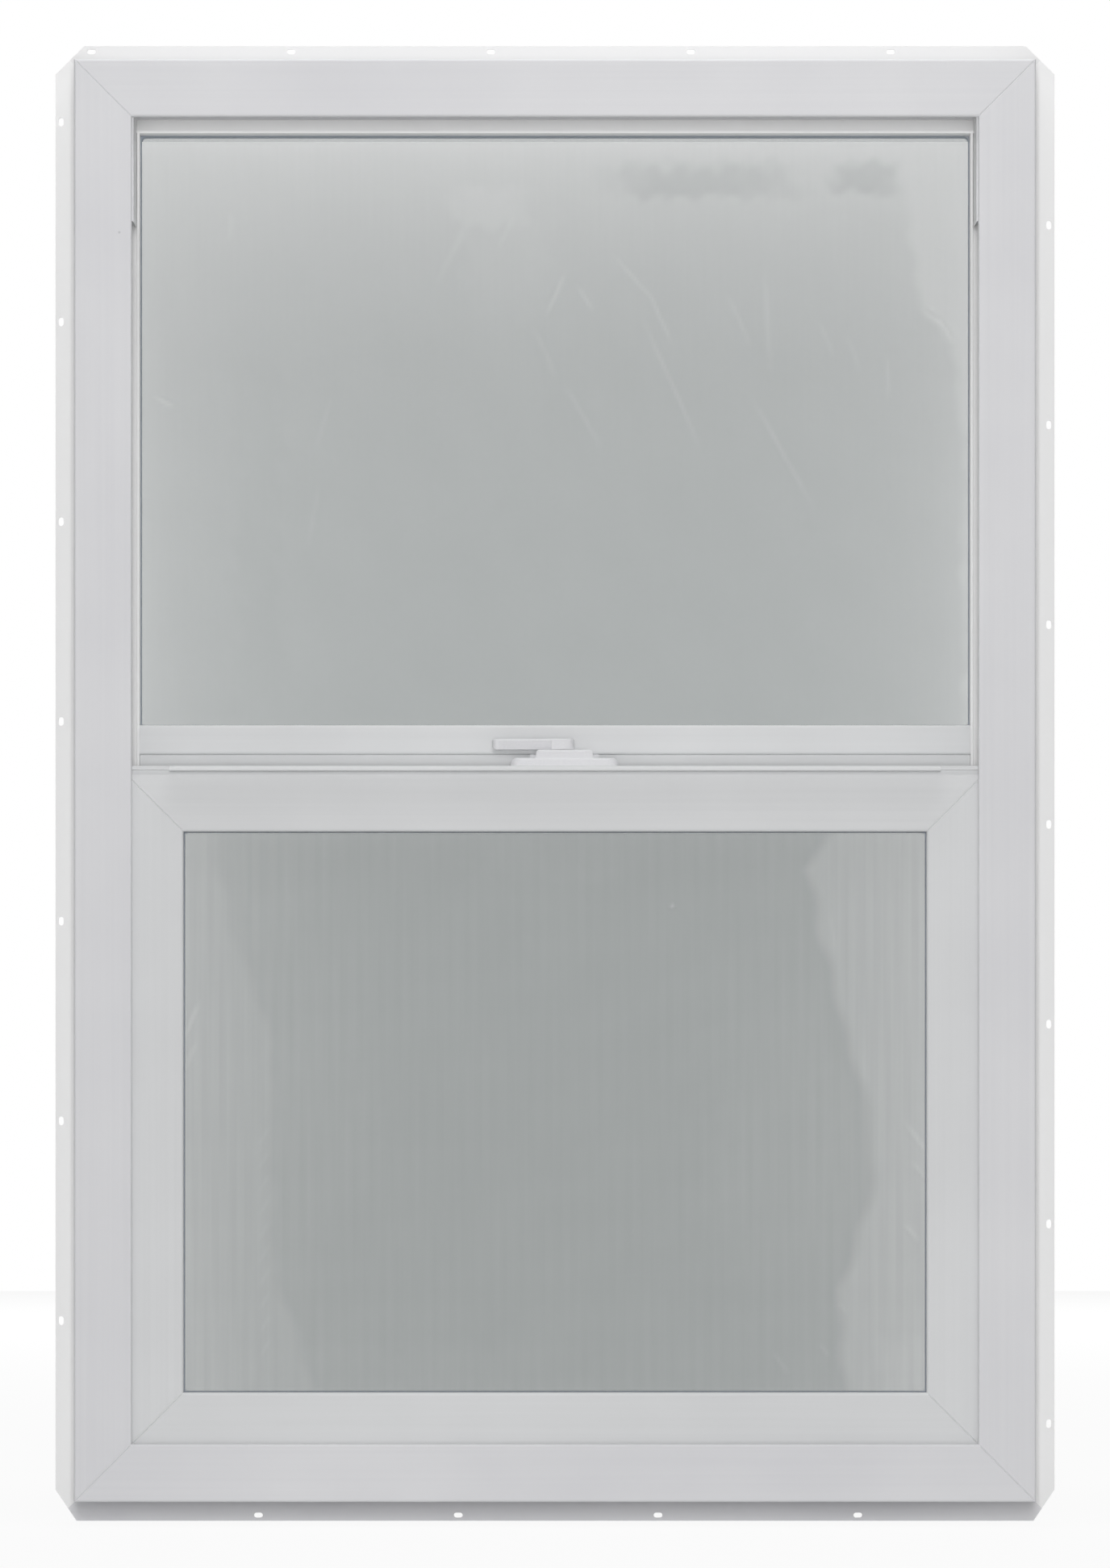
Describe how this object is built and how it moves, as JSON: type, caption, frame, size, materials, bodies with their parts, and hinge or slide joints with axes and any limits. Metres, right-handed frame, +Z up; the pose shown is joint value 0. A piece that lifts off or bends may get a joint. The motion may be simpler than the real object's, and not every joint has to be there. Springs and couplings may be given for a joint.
{
  "type": "single-hung vertical sliding window with nailing fin",
  "caption": "White vinyl single-hung window: fixed double glazing above, a lower sliding sash with a cam lock, a half insect screen outside and a slotted nailing fin all round.",
  "frame": {"origin": "on the seating face of the nailing fin, at mid width, in the middle of the bottom fin's own width", "axes": "+X to the right as seen from the room, +Y outdoors, +Z up"},
  "size_m": [0.64, 0.0872, 0.9448],
  "materials": {
    "vinyl": "satin white extruded vinyl",
    "glass": "clear float glass",
    "spacer": "dark sealed spacer",
    "pile": "grey woven pile",
    "seal": "soft grey bulb",
    "screen_frame": "white rolled aluminium",
    "screen_mesh": "charcoal woven glass-fibre yarn",
    "lock": "white powder-coated zinc",
    "steel": "plain zinc-plated steel"
  },
  "bodies": {
    "root": {"balance_left": "steel", "balance_right": "steel", "frame_head": "vinyl", "frame_left_jamb": "vinyl", "frame_right_jamb": "vinyl", "frame_sill": "vinyl", "lock_cam": "steel", "lock_housing": "lock", "lock_keeper": "lock", "lock_lever": "lock", "lower_glass_inside": "glass", "lower_glass_outside": "glass", "lower_spacer": "spacer", "meeting_pile": "pile", "meeting_rail": "vinyl", "sash_bead_bottom": "vinyl", "sash_bead_left": "vinyl", "sash_bead_right": "vinyl", "sash_bead_top": "vinyl", "sash_bottom_rail": "vinyl", "sash_bottom_seal": "seal", "sash_left_stile": "vinyl", "sash_pile_strips": "pile", "sash_right_stile": "vinyl", "sash_top_rail": "vinyl", "screen_bottom_bar": "screen_frame", "screen_left_bar": "screen_frame", "screen_mesh": "screen_mesh", "screen_right_bar": "screen_frame", "screen_top_bar": "screen_frame", "track_filler_left": "vinyl", "track_filler_right": "vinyl", "upper_bead_left": "vinyl", "upper_bead_right": "vinyl", "upper_bead_top": "vinyl", "upper_glass_inside": "glass", "upper_glass_outside": "glass", "upper_spacer": "spacer", "weep_covers": "vinyl"}
  },
  "joints": []
}
